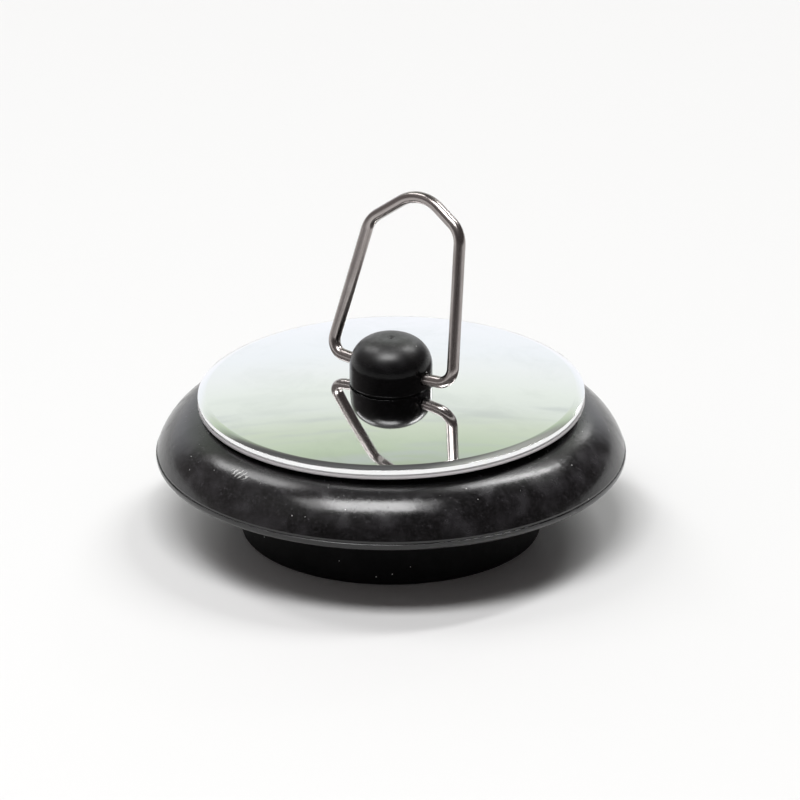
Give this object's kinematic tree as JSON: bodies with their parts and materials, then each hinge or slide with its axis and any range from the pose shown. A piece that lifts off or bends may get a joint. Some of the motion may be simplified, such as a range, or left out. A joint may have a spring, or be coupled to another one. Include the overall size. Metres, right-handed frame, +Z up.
{
  "type": "drain stopper",
  "caption": "Round rubber drain plug with a domed polished steel cover plate held under a central knob, and a wire bail that swings in the knob for a chain.",
  "frame": {"origin": "on the plug's axis at the foot of the spigot", "axes": "+Z up along the plug's axis, +X along the bail's pivot, +Y the way the bail leans at rest"},
  "size_m": [0.0622, 0.0622, 0.0457],
  "materials": {
    "black_rubber": "satin moulded rubber, lightly scuffed",
    "polished_plate": "mirror-polished stainless steel",
    "bail_wire": "bright drawn stainless wire"
  },
  "bodies": {
    "plug": {"rubber_plug": "black_rubber", "cover_plate": "polished_plate"},
    "bail": {"wire_bail": "bail_wire"}
  },
  "joints": [
    {"name": "bail_swing", "type": "hinge", "parent": "plug", "child": "bail", "pos_m": [0, 0, 0.02245], "axis": [1, 0, 0], "range_deg": [-78, 110]}
  ]
}
